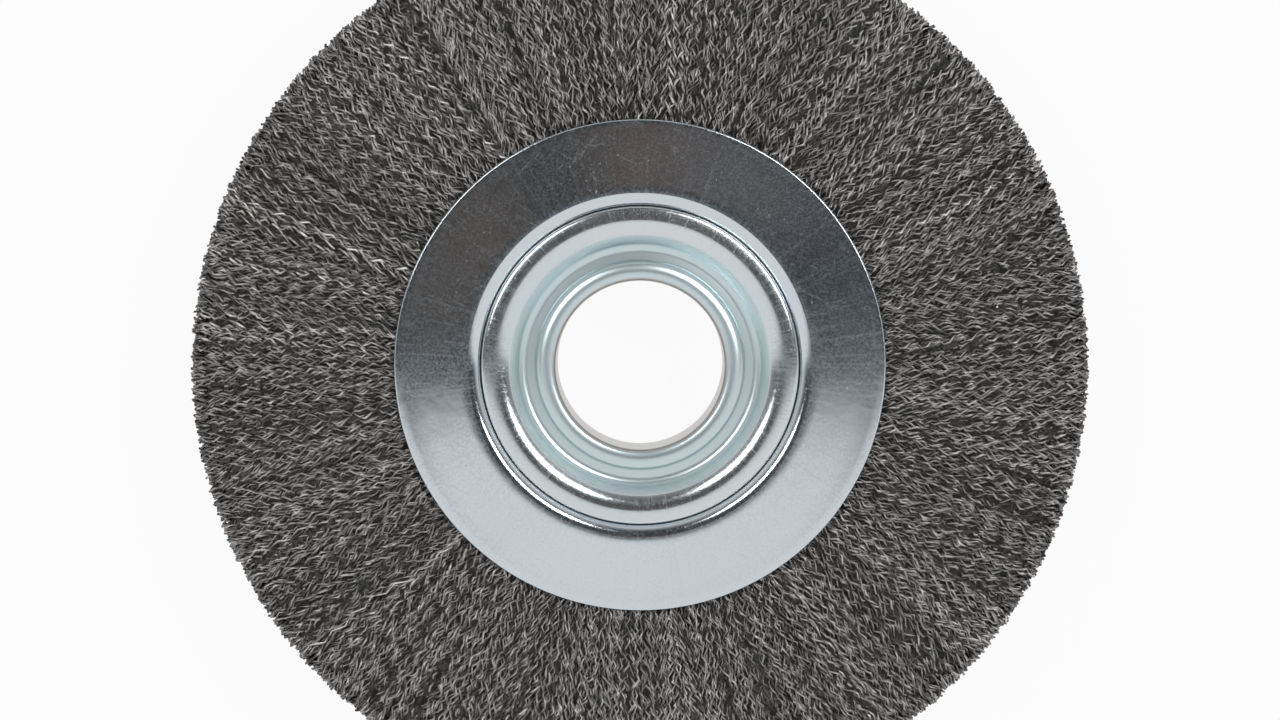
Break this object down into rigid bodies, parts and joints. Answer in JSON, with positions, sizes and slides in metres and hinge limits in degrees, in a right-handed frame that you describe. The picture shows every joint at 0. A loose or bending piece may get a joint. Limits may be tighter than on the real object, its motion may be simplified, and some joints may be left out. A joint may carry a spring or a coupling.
{
  "type": "wire wheel brush",
  "caption": "Round wheel brush of crimped steel wire, clamped between two zinc-plated side plates around a flared hub sleeve.",
  "frame": {"origin": "on the arbor bore's axis, half way between the two faces", "axes": "+Z along the bore's axis, out of the front face; the wheel lies flat on its rear face"},
  "size_m": [0.2, 0.2, 0.038],
  "materials": {
    "zinc_plate": "bright zinc plating, smooth",
    "zinc_hub": "bright zinc plating, smooth",
    "inner_steel": "plain steel",
    "crimped_wire": "dark drawn steel wire, crimped"
  },
  "bodies": {
    "root": {"front_plate": "zinc_plate", "rear_plate": "zinc_plate", "front_hub_cup": "zinc_hub", "rear_hub_cup": "zinc_hub", "arbor_sleeve": "zinc_hub", "hub_spacer": "inner_steel", "core_ring_1": "inner_steel", "core_ring_2": "inner_steel", "core_ring_3": "inner_steel", "wire_fill": "crimped_wire"}
  },
  "joints": []
}
